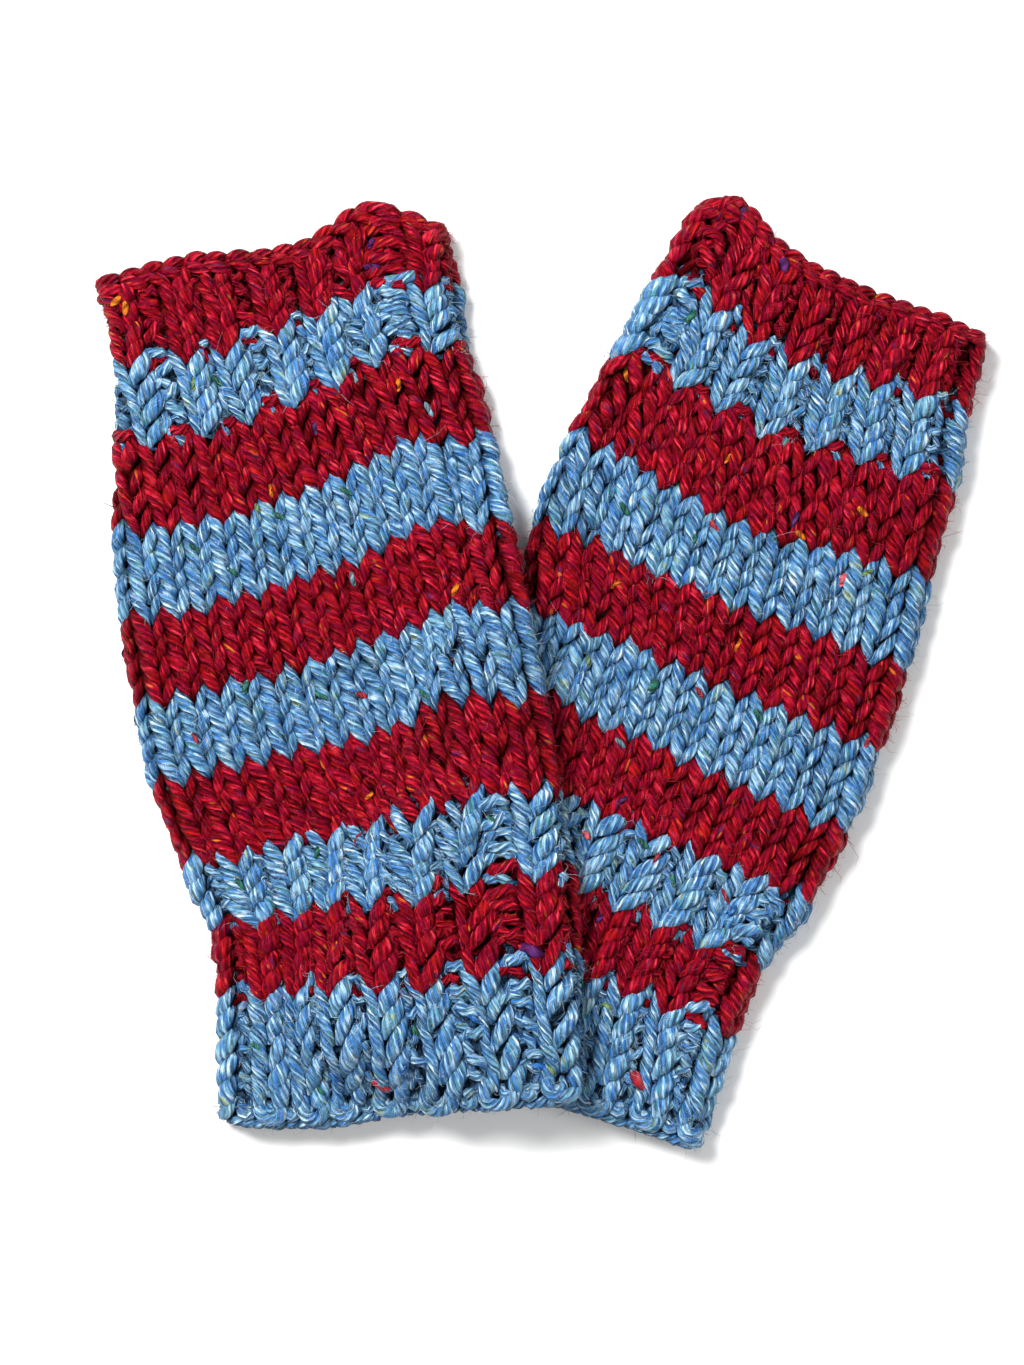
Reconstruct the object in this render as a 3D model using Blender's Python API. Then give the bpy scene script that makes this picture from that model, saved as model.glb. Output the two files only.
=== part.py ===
"""A pair of hand-knitted striped fingerless gloves, laid flat and fanned in a V.

Each glove is one flattened tube, knitted in the round from the wrist up. Every stripe of
colour is a ring of that tube, and the cast-on and bind-off edges are rings of their own.
The wrist of the left glove lies over the wrist of the right one.
Metres, +Z up. X runs across the pair, Y from the wrists to the finger ends.
"""

import math

import bpy
import bmesh

MM = 0.001

# The cloth of a glove that lies flat
WALL = 4.0 * MM  # one layer of chunky knitting
SLIT = 1.0 * MM  # the space left between the two layers
THICK = 2 * WALL + SLIT  # a flat glove in plain knitting
RIB_RAISE = 1.3 * MM  # how far the knit columns of the rib stand out
RIM_RAISE = 0.5 * MM  # how far the edge chains stand out
SEAM_GAP = 0.3 * MM  # between two stripes
RIBS_ON_FRONT = 8  # knit columns across one side

# Where the left glove lies over the right one
STACK_GAP = 0.4 * MM
DRAPE_REACH = 17.0 * MM  # how far from that edge the upper glove comes down
DRAPED_STRIPES = 7  # stripes of the left glove that reach over the right one

# Depth of the two edge chains along the glove
CAST_ON_DEPTH = 3.6 * MM
BIND_OFF_DEPTH = 4.6 * MM

# The middle of the pair's own box, in the frame of the row tables
CENTRE_X = 0.05 * MM
CENTRE_Y = 0.23 * MM

# Each row line runs across a glove from its left fold to its right fold, in millimetres.
# It dips towards the wrist by "dip" and rises towards the fingers by "hump", each at the
# place that SHAPES gives.
COLUMNS = ("row", "left_x", "left_y", "right_x", "right_y", "dip", "hump")

LEFT_ROWS = (
    ("cast_on", -71.7, -101.5, 8.2, -95.4, 2.3, 0.0),
    ("blue_1_top", -72.1, -73.8, 8.4, -65.0, 0.0, 0.7),
    ("red_2_top", -73.7, -58.0, 6.6, -44.7, -0.8, 1.8),
    ("blue_3_top", -80.5, -44.0, 4.3, -26.2, -1.2, 3.2),
    ("red_4_top", -88.6, -23.7, 0.9, -4.1, 0.0, 3.4),
    ("blue_5_top", -92.2, -6.5, -3.1, 16.2, 0.7, 3.4),
    ("red_6_top", -95.4, 13.1, -6.7, 34.7, 1.6, 4.1),
    ("blue_7_top", -97.0, 33.2, -10.8, 53.5, 2.7, 4.1),
    ("red_8_top", -96.5, 51.7, -16.4, 73.1, 2.7, 4.1),
    ("blue_9_top", -96.7, 70.4, -18.7, 87.3, 2.5, 3.8),
    ("bind_off", -100.8, 88.9, -21.4, 101.1, -2.5, 8.0),
)

RIGHT_ROWS = (
    ("cast_on", -41.5, -79.2, 35.2, -107.4, 1.6, 0.0),
    ("blue_1_top", -33.1, -51.7, 43.4, -81.2, 0.0, 0.9),
    ("red_2_top", -26.4, -34.7, 49.9, -66.3, 0.0, 3.2),
    ("blue_3_top", -18.7, -17.1, 61.0, -51.4, 0.0, 3.6),
    ("red_4_top", -11.5, 1.4, 70.2, -35.4, 0.0, 1.8),
    ("blue_5_top", -4.2, 17.6, 77.4, -16.5, 0.0, 0.0),
    ("red_6_top", -1.3, 35.9, 83.7, 1.6, 1.1, 0.0),
    ("blue_7_top", 7.3, 55.7, 88.7, 21.9, 4.5, 0.0),
    ("red_8_top", 16.7, 72.4, 93.7, 42.4, 4.5, 0.9),
    ("blue_9_top", 26.0, 88.2, 95.9, 58.7, 4.3, 2.7),
    ("bind_off", 36.1, 106.0, 100.9, 76.3, 1.6, 5.2),
)

# Share of the width beside each fold in which a row line runs straight again
STRAIGHT_END = 0.08

# Where along a row line the dip and the hump lie, and how wide they are
SHAPES = {
    "left": {"rows": LEFT_ROWS, "dip_at": 0.27, "dip_width": 0.22, "hump_at": 0.79, "hump_width": 0.14},
    "right": {"rows": RIGHT_ROWS, "dip_at": 0.50, "dip_width": 0.26, "hump_at": 0.11, "hump_width": 0.11},
}

# Stripes from the wrist up: name, colour, knitting
STRIPES = (
    ("stripe_01", "blue", "rib"),
    ("stripe_02", "red", "rib"),
    ("stripe_03", "blue", "rib"),
    ("stripe_04", "red", "plain"),
    ("stripe_05", "blue", "plain"),
    ("stripe_06", "red", "plain"),
    ("stripe_07", "blue", "plain"),
    ("stripe_08", "red", "plain"),
    ("stripe_09", "blue", "rib"),
    ("stripe_10", "red", "rib"),
)

# How finely a ring is divided: round a fold, under the glove, and along it
FOLD_STEPS = 4
FLAT_UNDER_STEPS = 8
DRAPED_UNDER_STEPS = 20
FLAT_LENGTH_STEPS = 2
DRAPED_LENGTH_STEPS = 3
RIM_LENGTH_STEPS = 3

# How finely the outline of the lower glove is divided: per stripe, and across
OUTLINE_STRIPE_STEPS = 3
OUTLINE_ACROSS_STEPS = 12

SHARP_ANGLE = math.radians(50)

# One rib from valley to valley: place across it, and share of RIB_RAISE
RIB_PROFILE = ((0.0, 0.0), (0.20, 0.85), (0.50, 1.0), (0.80, 0.85))

COLOURS = {
    "red": {"colour": (0.42, 0.010, 0.022, 1.0), "roughness": 0.85},
    "blue": {"colour": (0.24, 0.43, 0.68, 1.0), "roughness": 0.8},
}


def clear_scene():
    for obj in list(bpy.data.objects):
        bpy.data.objects.remove(obj)


def make_material(name, colour, roughness):
    material = bpy.data.materials.new(name)
    material.use_nodes = True
    shader = material.node_tree.nodes["Principled BSDF"]
    shader.inputs["Base Color"].default_value = colour
    shader.inputs["Roughness"].default_value = roughness
    shader.inputs["Metallic"].default_value = 0.0
    material.diffuse_color = colour
    return material


def even_steps(start, end, steps):
    return [start + (end - start) * i / steps for i in range(steps + 1)]


def smooth_step(t):
    t = min(max(t, 0.0), 1.0)
    return t * t * (3 - 2 * t)


def smooth_value(values, at):
    """A smooth curve through evenly spaced values, read at a place counted in values."""
    last = len(values) - 1
    index = min(int(at), last - 1)
    t = at - index
    before = values[max(index - 1, 0)]
    start = values[index]
    end = values[index + 1]
    after = values[min(index + 2, last)]
    lean_in = (end - before) / 2
    lean_out = (after - start) / 2
    return (
        start * (2 * t**3 - 3 * t**2 + 1)
        + lean_in * (t**3 - 2 * t**2 + t)
        + end * (3 * t**2 - 2 * t**3)
        + lean_out * (t**3 - t**2)
    )


def bump(across, at, width):
    """A soft rise at one place of a row line, nothing at the two folds."""
    ends = min(across, 1 - across) / STRAIGHT_END
    return math.exp(-(((across - at) / width) ** 2)) * smooth_step(ends)


class Glove:
    """The flat shape of one glove: places across a row line and along the glove."""

    def __init__(self, side):
        self.shape = SHAPES[side]
        self.columns = {
            name: [row[index] * MM for row in self.shape["rows"]]
            for index, name in enumerate(COLUMNS)
            if name != "row"
        }

    def row_value(self, name, along):
        return smooth_value(self.columns[name], along)

    def width(self, along):
        reach_x = self.row_value("right_x", along) - self.row_value("left_x", along)
        reach_y = self.row_value("right_y", along) - self.row_value("left_y", along)
        return math.hypot(reach_x, reach_y)

    def place(self, across, along):
        """The point of the table's plane at a share across and a row number along."""
        left_x = self.row_value("left_x", along)
        left_y = self.row_value("left_y", along)
        reach_x = self.row_value("right_x", along) - left_x
        reach_y = self.row_value("right_y", along) - left_y
        shape = self.shape
        rise = self.row_value("hump", along) * bump(across, shape["hump_at"], shape["hump_width"])
        rise -= self.row_value("dip", along) * bump(across, shape["dip_at"], shape["dip_width"])
        width = math.hypot(reach_x, reach_y)
        x = left_x + reach_x * across - rise * reach_y / width - CENTRE_X
        y = left_y + reach_y * across + rise * reach_x / width - CENTRE_Y
        return x, y

    def outline(self):
        """The corner points of the flat outline, anticlockwise."""
        last = len(STRIPES)
        edge = even_steps(0, last, last * OUTLINE_STRIPE_STEPS)
        across = even_steps(0, 1, OUTLINE_ACROSS_STEPS)[1:-1]
        right = [self.place(1.0, along) for along in edge]
        top = [self.place(1 - share, last) for share in across]
        left = [self.place(0.0, along) for along in reversed(edge)]
        bottom = [self.place(share, 0.0) for share in across]
        return right + top + left + bottom


def distance_outside(point, outline):
    """How far a point lies outside a closed outline, nothing when it is inside."""
    x, y = point
    inside = False
    nearest = math.inf
    for i, (ax, ay) in enumerate(outline):
        bx, by = outline[i - 1]
        if (ay > y) != (by > y) and x < (bx - ax) * (y - ay) / (by - ay) + ax:
            inside = not inside
        edge_x = bx - ax
        edge_y = by - ay
        length = edge_x**2 + edge_y**2
        t = min(max(((x - ax) * edge_x + (y - ay) * edge_y) / length, 0.0), 1.0)
        nearest = min(nearest, math.hypot(ax + edge_x * t - x, ay + edge_y * t - y))
    return 0.0 if inside else nearest


def lift_over(outline):
    """The height of a glove's underside where it lies over another one's outline."""
    top_of_lower = THICK + RIB_RAISE + STACK_GAP

    def lift(x, y):
        away = distance_outside((x, y), outline) / DRAPE_REACH
        return top_of_lower * (1 - smooth_step(away))

    return lift


def no_lift(x, y):
    return 0.0


def section(width, under_steps, knitting):
    """Points round a flattened tube: outer and inner (distance from the left fold, height)."""
    outer = []
    inner = []
    outer_radius = THICK / 2
    inner_radius = SLIT / 2
    inner_fold = WALL + inner_radius
    middle = THICK / 2

    def add_fold(fold_outer, fold_inner, first_angle):
        for i in range(1, FOLD_STEPS):
            angle = first_angle - math.pi * i / FOLD_STEPS
            outer.append(
                (fold_outer + outer_radius * math.cos(angle), middle + outer_radius * math.sin(angle))
            )
            inner.append(
                (fold_inner + inner_radius * math.cos(angle), middle + inner_radius * math.sin(angle))
            )

    def add_flat(share, height, inner_height):
        outer.append((outer_radius + (width - 2 * outer_radius) * share, height))
        inner.append((inner_fold + (width - 2 * inner_fold) * share, inner_height))

    raised = RIB_RAISE if knitting == "rib" else 0.0
    for rib in range(RIBS_ON_FRONT):
        for place, raise_share in RIB_PROFILE:
            share = (rib + place) / RIBS_ON_FRONT
            add_flat(share, THICK + raised * raise_share, middle + inner_radius)
    add_flat(1.0, THICK, middle + inner_radius)
    add_fold(width - outer_radius, width - inner_fold, math.pi / 2)
    for i in range(under_steps + 1):
        add_flat(1 - i / under_steps, 0.0, middle - inner_radius)
    add_fold(outer_radius, inner_fold, -math.pi / 2)
    return outer, inner


def add_ring(name, glove, lift, alongs, swells, under_steps, knitting, material):
    """One ring of the tube between the first and last of alongs, as a closed solid."""
    mesh = bmesh.new()
    loops = []
    for along, swell in zip(alongs, swells):
        width = glove.width(along)
        outer, inner = section(width, under_steps, knitting)
        loop = []
        for points, raised in ((outer, swell), (inner, 0.0)):
            row = []
            for distance, height in points:
                x, y = glove.place(distance / width, along)
                if height > THICK / 2:
                    height += raised
                row.append(mesh.verts.new((x, y, lift(x, y) + height)))
            loop.append(row)
        loops.append(loop)
    count = len(loops[0][0])
    for near, far in zip(loops, loops[1:]):
        for i in range(count):
            j = (i + 1) % count
            mesh.faces.new((near[0][i], near[0][j], far[0][j], far[0][i]))
            mesh.faces.new((near[1][j], near[1][i], far[1][i], far[1][j]))
    for i in range(count):
        j = (i + 1) % count
        mesh.faces.new((loops[0][1][i], loops[0][1][j], loops[0][0][j], loops[0][0][i]))
        mesh.faces.new((loops[-1][0][i], loops[-1][0][j], loops[-1][1][j], loops[-1][1][i]))
    bmesh.ops.recalc_face_normals(mesh, faces=mesh.faces)
    data = bpy.data.meshes.new(name)
    mesh.to_mesh(data)
    mesh.free()
    data.materials.append(material)
    obj = bpy.data.objects.new(name, data)
    bpy.context.scene.collection.objects.link(obj)
    data.shade_smooth()
    data.set_sharp_from_angle(angle=SHARP_ANGLE)


def row_share(glove, row, distance):
    """A distance along the glove at one row, as a share of the step to the next row."""
    x0, y0 = glove.place(0.5, row)
    x1, y1 = glove.place(0.5, row + 1)
    return distance / math.hypot(x1 - x0, y1 - y0)


def make_glove(side, lift, draped_stripes, materials):
    glove = Glove(side)
    last = len(STRIPES)
    under_steps = DRAPED_UNDER_STEPS if draped_stripes else FLAT_UNDER_STEPS
    cast_on_end = row_share(glove, 0, CAST_ON_DEPTH)
    bind_off_start = last - row_share(glove, last - 1, BIND_OFF_DEPTH)
    for number, (stripe, colour, knitting) in enumerate(STRIPES):
        start = number if number > 0 else cast_on_end
        end = number + 1 if number + 1 < last else bind_off_start
        gap = row_share(glove, number, SEAM_GAP / 2)
        steps = DRAPED_LENGTH_STEPS if number < draped_stripes else FLAT_LENGTH_STEPS
        alongs = even_steps(start + gap, end - gap, steps)
        swells = [0.0] * len(alongs)
        name = f"{side}_{stripe}_{colour}"
        add_ring(name, glove, lift, alongs, swells, under_steps, knitting, materials[colour])
    rims = (
        ("cast_on_edge", "blue", 0.0, cast_on_end, (-1.0, 1.0, 1.0, 0.0), 0, 1),
        ("bind_off_edge", "red", bind_off_start, last, (0.0, 1.0, 1.0, -1.0), 1, 0),
    )
    for rim, colour, start, end, swell_shares, gap_before, gap_after in rims:
        gap = row_share(glove, min(int(start), last - 1), SEAM_GAP / 2)
        alongs = even_steps(start + gap * gap_before, end - gap * gap_after, RIM_LENGTH_STEPS)
        swells = [RIM_RAISE * share for share in swell_shares]
        name = f"{side}_{rim}"
        add_ring(name, glove, lift, alongs, swells, under_steps, "plain", materials[colour])


def main():
    clear_scene()
    materials = {
        name: make_material(f"{name}_tweed_yarn", values["colour"], values["roughness"])
        for name, values in COLOURS.items()
    }
    make_glove("right", no_lift, 0, materials)
    make_glove("left", lift_over(Glove("right").outline()), DRAPED_STRIPES, materials)


main()
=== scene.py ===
"""The looks of a pair of hand-knitted striped fingerless gloves.

Every stripe is knitted from real loops of yarn that lie on the form of its CAD ring, and a
thin inner cloth closes the gaps between them. Metres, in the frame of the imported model.
"""

import math
from collections import namedtuple

import bpy
import numpy as np
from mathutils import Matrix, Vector


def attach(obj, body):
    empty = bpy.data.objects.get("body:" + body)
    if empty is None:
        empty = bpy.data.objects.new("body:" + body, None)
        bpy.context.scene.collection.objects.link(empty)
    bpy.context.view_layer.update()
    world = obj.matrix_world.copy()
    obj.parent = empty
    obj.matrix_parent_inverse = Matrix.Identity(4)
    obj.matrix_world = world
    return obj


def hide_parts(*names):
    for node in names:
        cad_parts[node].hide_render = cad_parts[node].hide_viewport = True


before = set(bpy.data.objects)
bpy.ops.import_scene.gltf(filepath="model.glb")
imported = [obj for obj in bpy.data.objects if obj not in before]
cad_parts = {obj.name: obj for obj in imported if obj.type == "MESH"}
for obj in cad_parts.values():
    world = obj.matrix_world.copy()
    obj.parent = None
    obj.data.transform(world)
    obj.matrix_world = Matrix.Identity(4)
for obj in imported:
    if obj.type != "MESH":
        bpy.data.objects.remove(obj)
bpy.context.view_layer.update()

MM = 0.001

# The gloves' form, the same as the solids have
THICK = 9.0 * MM  # a flat glove in plain knitting
RIB_RAISE = 1.3 * MM
STACK_GAP = 0.4 * MM
DRAPE_REACH = 17.0 * MM
CENTRE_X = 0.05 * MM
CENTRE_Y = 0.23 * MM
STRAIGHT_END = 0.08
CLOTH_DEPTH = 2.0 * MM  # from the outside of the cloth to its middle
FOLD_RADIUS = THICK / 2 - CLOTH_DEPTH  # of the cloth's middle

# Row lines, in millimetres: each runs from the left fold to the right fold, dips towards
# the wrist by "dip" and rises towards the fingers by "hump".
COLUMNS = ("row", "left_x", "left_y", "right_x", "right_y", "dip", "hump")

LEFT_ROWS = (
    ("cast_on", -71.7, -101.5, 8.2, -95.4, 2.3, 0.0),
    ("blue_1_top", -72.1, -73.8, 8.4, -65.0, 0.0, 0.7),
    ("red_2_top", -73.7, -58.0, 6.6, -44.7, -0.8, 1.8),
    ("blue_3_top", -80.5, -44.0, 4.3, -26.2, -1.2, 3.2),
    ("red_4_top", -88.6, -23.7, 0.9, -4.1, 0.0, 3.4),
    ("blue_5_top", -92.2, -6.5, -3.1, 16.2, 0.7, 3.4),
    ("red_6_top", -95.4, 13.1, -6.7, 34.7, 1.6, 4.1),
    ("blue_7_top", -97.0, 33.2, -10.8, 53.5, 2.7, 4.1),
    ("red_8_top", -96.5, 51.7, -16.4, 73.1, 2.7, 4.1),
    ("blue_9_top", -96.7, 70.4, -18.7, 87.3, 2.5, 3.8),
    ("bind_off", -100.8, 88.9, -21.4, 101.1, -2.5, 8.0),
)

RIGHT_ROWS = (
    ("cast_on", -41.5, -79.2, 35.2, -107.4, 1.6, 0.0),
    ("blue_1_top", -33.1, -51.7, 43.4, -81.2, 0.0, 0.9),
    ("red_2_top", -26.4, -34.7, 49.9, -66.3, 0.0, 3.2),
    ("blue_3_top", -18.7, -17.1, 61.0, -51.4, 0.0, 3.6),
    ("red_4_top", -11.5, 1.4, 70.2, -35.4, 0.0, 1.8),
    ("blue_5_top", -4.2, 17.6, 77.4, -16.5, 0.0, 0.0),
    ("red_6_top", -1.3, 35.9, 83.7, 1.6, 1.1, 0.0),
    ("blue_7_top", 7.3, 55.7, 88.7, 21.9, 4.5, 0.0),
    ("red_8_top", 16.7, 72.4, 93.7, 42.4, 4.5, 0.9),
    ("blue_9_top", 26.0, 88.2, 95.9, 58.7, 4.3, 2.7),
    ("bind_off", 36.1, 106.0, 100.9, 76.3, 1.6, 5.2),
)

# Stripes from the wrist up. The last three columns say how far the left and right legs of
# knit stitches lean in the rib, and how far apart they stand.
Stripe = namedtuple("Stripe", "name colour knitting rows left_lean right_lean apart", defaults=(1, 1, 1))
STRIPES = (
    Stripe("stripe_01", "blue", "rib", 5, 0.85, 1.10, 0.96),
    Stripe("stripe_02", "red", "rib", 4, 0.80, 1.40, 0.94),
    Stripe("stripe_03", "blue", "rib", 4, 0.90, 1.65, 1.00),
    Stripe("stripe_04", "red", "plain", 4),
    Stripe("stripe_05", "blue", "plain", 4),
    Stripe("stripe_06", "red", "plain", 4),
    Stripe("stripe_07", "blue", "plain", 4),
    Stripe("stripe_08", "red", "plain", 4),
    Stripe("stripe_09", "blue", "rib", 4, 0.80, 1.45, 0.90),
    Stripe("stripe_10", "red", "rib", 4, 0.80, 1.30, 0.82),
)
STRIPE_ENDS = np.cumsum([stripe.rows for stripe in STRIPES])  # rows
ROWS = STRIPE_ENDS[-1]
PLAIN_FROM = STRIPE_ENDS[2]
PLAIN_TO = STRIPE_ENDS[7]
CAST_ON_ROOM = 5.5 * MM  # below the first row line
CHAIN_ROOM = 4.6 * MM  # above the last row line

RIBS_ON_FRONT = 8
RIBS_ROUND = 16
STITCHES_ROUND = 2 * RIBS_ROUND

# Where the knit columns lie across the front of each glove, as shares of it, at some rows
LEFT_RIBS = (
    (-1.0, (-0.010, 0.125, 0.243, 0.360, 0.487, 0.650, 0.820, 0.956)),
    (1.5, (-0.010, 0.124, 0.233, 0.350, 0.477, 0.619, 0.786, 0.948)),
    (4.0, (-0.008, 0.118, 0.212, 0.325, 0.449, 0.580, 0.735, 0.912)),
    (7.0, (-0.004, 0.108, 0.209, 0.315, 0.431, 0.555, 0.712, 0.901)),
    (11.0, (-0.009, 0.120, 0.238, 0.350, 0.462, 0.582, 0.715, 0.915)),
    (15.0, (0.000, 0.141, 0.279, 0.415, 0.543, 0.673, 0.800, 0.933)),
    (29.0, (0.000, 0.141, 0.279, 0.415, 0.543, 0.673, 0.800, 0.933)),
    (33.0, (-0.050, 0.095, 0.248, 0.371, 0.505, 0.629, 0.747, 0.921)),
    (37.0, (-0.085, 0.039, 0.196, 0.309, 0.468, 0.592, 0.701, 0.908)),
    (39.0, (-0.080, 0.050, 0.208, 0.325, 0.460, 0.593, 0.712, 0.929)),
)
RIGHT_RIBS = (
    (-1.0, (0.030, 0.170, 0.300, 0.435, 0.560, 0.700, 0.845, 0.980)),
    (1.5, (0.030, 0.170, 0.300, 0.435, 0.560, 0.696, 0.838, 0.977)),
    (4.0, (0.030, 0.170, 0.300, 0.440, 0.564, 0.680, 0.802, 0.974)),
    (7.0, (0.030, 0.170, 0.310, 0.450, 0.574, 0.689, 0.813, 0.990)),
    (11.0, (0.020, 0.160, 0.300, 0.433, 0.567, 0.699, 0.832, 1.000)),
    (15.0, (-0.005, 0.131, 0.260, 0.390, 0.529, 0.680, 0.823, 0.981)),
    (29.0, (-0.005, 0.131, 0.260, 0.390, 0.529, 0.680, 0.823, 0.981)),
    (33.0, (0.005, 0.187, 0.315, 0.455, 0.598, 0.733, 0.850, 0.992)),
    (37.0, (0.007, 0.187, 0.322, 0.463, 0.603, 0.717, 0.855, 0.995)),
    (40.0, (0.000, 0.190, 0.315, 0.449, 0.590, 0.725, 0.858, 0.995)),
)
KNIT_WIDTH = 8.2 * MM  # a knit stitch in the rib, where there is room
KNIT_SHARE = 0.90  # of the step from rib to rib that it may fill

# One stitch along its yarn, left to right. Across is counted in stitch widths from the
# stitch's middle, up in rows from the tip of its V, out and the radius in millimetres, out
# from the middle of the cloth. A purl stitch is even, so it has its left half and its head.
LOOP_COLUMNS = ("across", "up", "out", "radius")
KNIT_LOOP = (
    ("back of the step", -0.50, -0.40, -1.15, 0.90),
    ("left foot", -0.24, -0.42, -0.50, 0.85),
    ("left tip", -0.08, -0.10, 0.60, 0.95),
    ("left leg low", -0.15, 0.28, 1.25, 1.42),
    ("left leg high", -0.32, 0.80, 1.05, 1.50),
    ("left shoulder", -0.46, 1.22, 0.00, 1.05),
    ("left of the head", -0.32, 1.50, -0.95, 0.95),
    ("head", 0.00, 1.60, -1.25, 0.95),
    ("right of the head", 0.32, 1.50, -0.95, 0.90),
    ("right shoulder", 0.46, 1.20, -0.15, 0.85),
    ("right leg high", 0.37, 0.80, 1.00, 1.20),
    ("right leg low", 0.21, 0.30, 1.20, 1.24),
    ("right tip", 0.08, -0.12, 0.40, 0.80),
    ("right foot", 0.25, -0.42, -0.60, 0.80),
)
PURL_LOOP = (
    ("back of the step", -0.50, -0.20, 0.10, 1.10),
    ("left foot", -0.30, -0.08, 1.05, 1.25),
    ("left tip", -0.07, 0.02, 0.80, 1.10),
    ("left leg low", -0.12, 0.30, -0.90, 0.90),
    ("left leg high", -0.36, 0.85, -0.90, 0.90),
    ("left shoulder", -0.48, 1.32, 0.30, 1.15),
    ("left of the head", -0.28, 1.50, 1.25, 1.38),
    ("head", 0.00, 1.40, 1.25, 1.28),
)
EXTRA_POINTS = (2.5, 3.5, 10.5)  # between the rows of a loop, on the legs
YARN_SIDES = 8
YARN_ROUND = 8.4 * MM
LEG_WIDE = 1.08  # yarn is pressed a little flat: its width and height over its radius
LEG_HIGH = 0.92
RIB_LEFT_LEG = 0.86  # in the rib left legs are thinner and right legs much thicker
RIB_RIGHT_LEG = 1.40
LEG_STRETCH = 0.22
LEG_MIDDLE = 0.27  # the place across that legs turn about
PLAIN_RISE = 0.25  # rows from a row line up to its stitches
RIB_RISE = 0.55
FOLD_REACH = 6.0 * MM  # legs lie closer and are thicker where the glove is folded
FOLD_CLOSER = 0.30
FOLD_THICKER = 0.22
NARROW = 4.4 * MM  # yarn is thinner where a stitch is narrower than this
NARROW_THIN = 0.72

# How much stitches differ by chance, as standard deviations
SWAY = 0.05  # shares of a stitch's width
TALLER = 0.03  # shares of its height
HIGHER = 0.06  # rows
DEEPER = 0.12 * MM
LEG_DEEPER = 0.17 * MM
THICKER = 0.05  # shares of the yarn's radius
LEG_THICKER = 0.07
LUMPS = 0.04
UNEVEN = 1.3  # how much more stitches differ on the hump of a glove
UNEVEN_WIDTH = 0.2
EDGE_HIGHER = 0.20 * MM  # the same for the edges' yarn
EDGE_DEEPER = 0.15 * MM
EDGE_THICKER = 0.09

KNIT_OUT = 0.9 * MM  # knit columns of the rib stand out, purl columns lie deep
PURL_OUT = 0.35 * MM
CLOSED_PURL = 3.0 * MM  # a purl column this narrow lies deep, and a wide one doesn't
OPEN_PURL = 6.5 * MM
OPEN_PURL_OUT = 0.85 * MM
PURL_SLOPE = 0.10  # how far purl stitches tilt, and how unevenly, rows over a stitch's width
PURL_TILT = 0.50
PURL_LUMPS = 0.05  # rows
PURL_THIN = 0.95  # of the yarn's radius, in a closed purl column
TURN_ROWS = 2.0  # rows over which plain knitting turns into rib

COLOURS = {
    "red": {
        "slot": "red_tweed_yarn",
        "dark": (0.050, 0.0005, 0.002),
        "low": (0.110, 0.001, 0.004),
        "middle": (0.235, 0.001, 0.007),
        "high": (0.470, 0.006, 0.026),
        # light: a painted highlight of the silky fibres, at the light end of the fibres' streaks
        "light": (0.700, 0.045, 0.080),
        "warm": (0.400, 0.008, 0.004),
        "cold": (0.150, 0.001, 0.020),
        # painted shade: the colours that low-lying yarn is darkened towards, at the bottom of crevices
        # and between legs
        "painted_shade": ((0.020, 0.002, 0.003), (0.26, 0.13, 0.14)),
        "gloss": (1.0, 0.06, 0.09),
        "fuzz": (0.620, 0.050, 0.075),
        "flecks_from": 0.68,
        "flecks": ((0.60, 0.16, 0.010), (0.05, 0.012, 0.07), (0.55, 0.05, 0.01), (0.02, 0.03, 0.12)),
    },
    "blue": {
        "slot": "blue_tweed_yarn",
        "dark": (0.022, 0.085, 0.230),
        "low": (0.058, 0.185, 0.360),
        "middle": (0.124, 0.325, 0.550),
        "high": (0.370, 0.590, 0.770),
        # light: a painted highlight of the silky fibres, at the light end of the fibres' streaks
        "light": (0.700, 0.800, 0.880),
        "warm": (0.160, 0.370, 0.450),
        "cold": (0.016, 0.130, 0.400),
        # painted shade: the colours that low-lying yarn is darkened towards, at the bottom of crevices
        # and between legs
        "painted_shade": ((0.040, 0.070, 0.110), (0.33, 0.45, 0.54)),
        "gloss": (0.65, 0.85, 1.0),
        "fuzz": (0.560, 0.700, 0.820),
        "flecks_from": 0.63,
        "flecks": ((0.02, 0.12, 0.08), (0.01, 0.12, 0.42), (0.04, 0.22, 0.22), (0.30, 0.36, 0.16)),
    },
}
FIBRE_ANGLE = math.radians(38)  # of the fibres to the yarn, on its map
STRAY_TURN = math.radians(-65)  # of a few stray fibres to the others
PLY_WIDTH = 1.25  # millimetres

# Noises drawn out along the yarn's fibres: angle, length and width in millimetres, detail
STREAKS = {
    "fibres": (FIBRE_ANGLE, 4.0, 0.85, 2.0),
    "hairs": (FIBRE_ANGLE, 3.0, 0.22, 2.0),
    "patches": (FIBRE_ANGLE, 14.0, 6.0, 2.0),
    "tints": (FIBRE_ANGLE, 7.0, 1.1, 2.0),
    "tufts": (FIBRE_ANGLE, 4.6, 1.1, 1.0),
    "stray": (FIBRE_ANGLE + STRAY_TURN, 3.0, 0.14, 1.0),
}
STRIPE_TOP = 2.9 * MM  # height of the yarn's outside over the middle of the cloth, where its painted shade ends
EDGE_TOP = 2.6 * MM
SHADE_DEPTH = 0.8 * MM  # from the middle of the cloth in to where the painted shade is darkest
CLEAR = 0.05 * MM  # between the yarn and what it lies on
SOFT = 0.5 * MM  # the height over which yarn is pressed flat there
YARN_LENGTH = 3.0  # the map of the yarn is read from anywhere along it
STRIPE_CELLS = 16  # cells a side of the bake map
EDGE_CELLS = 12
CELL_MARGIN = 0.04
ROW = 4.6 * MM

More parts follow.
